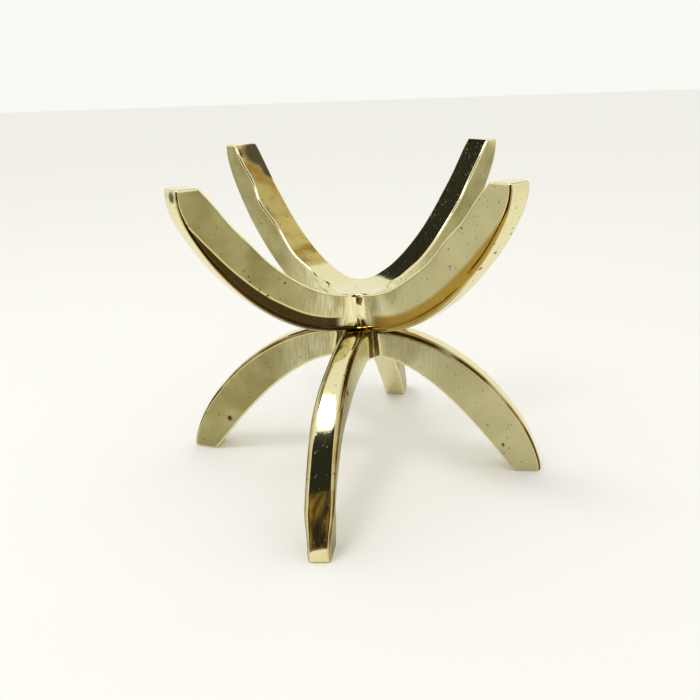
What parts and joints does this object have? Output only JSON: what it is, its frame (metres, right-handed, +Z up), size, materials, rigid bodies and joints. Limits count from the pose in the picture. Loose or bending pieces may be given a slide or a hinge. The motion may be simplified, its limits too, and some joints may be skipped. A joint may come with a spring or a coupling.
{
  "type": "plant stand",
  "caption": "Small polished cast brass stand: curved arms cradle a round pot or ball above splayed curved legs, clamped by a central screw.",
  "frame": {"origin": "on the surface that the stand rests on, straight below the screw that joins the cradle to the legs", "axes": "+Z up along the screw; -Y towards the viewer of the picture, +X to the right"},
  "size_m": [0.1347, 0.1381, 0.1156],
  "materials": {
    "polished_brass": "hand-polished sand casting: olive-gold, slightly wavy, with fine pits, file marks near the brazed joints and a violet-grey tint along the seams",
    "brass_washer": "turned, dull",
    "steel_screw": "plain turned steel, slightly darkened"
  },
  "bodies": {
    "root": {"arm_front_left": "polished_brass", "arm_front_right": "polished_brass", "arm_back_right": "polished_brass", "arm_back_left": "polished_brass", "leg_back": "polished_brass", "leg_left": "polished_brass", "leg_front": "polished_brass", "leg_right": "polished_brass", "screw_washer": "brass_washer", "centre_screw": "steel_screw"}
  },
  "joints": []
}
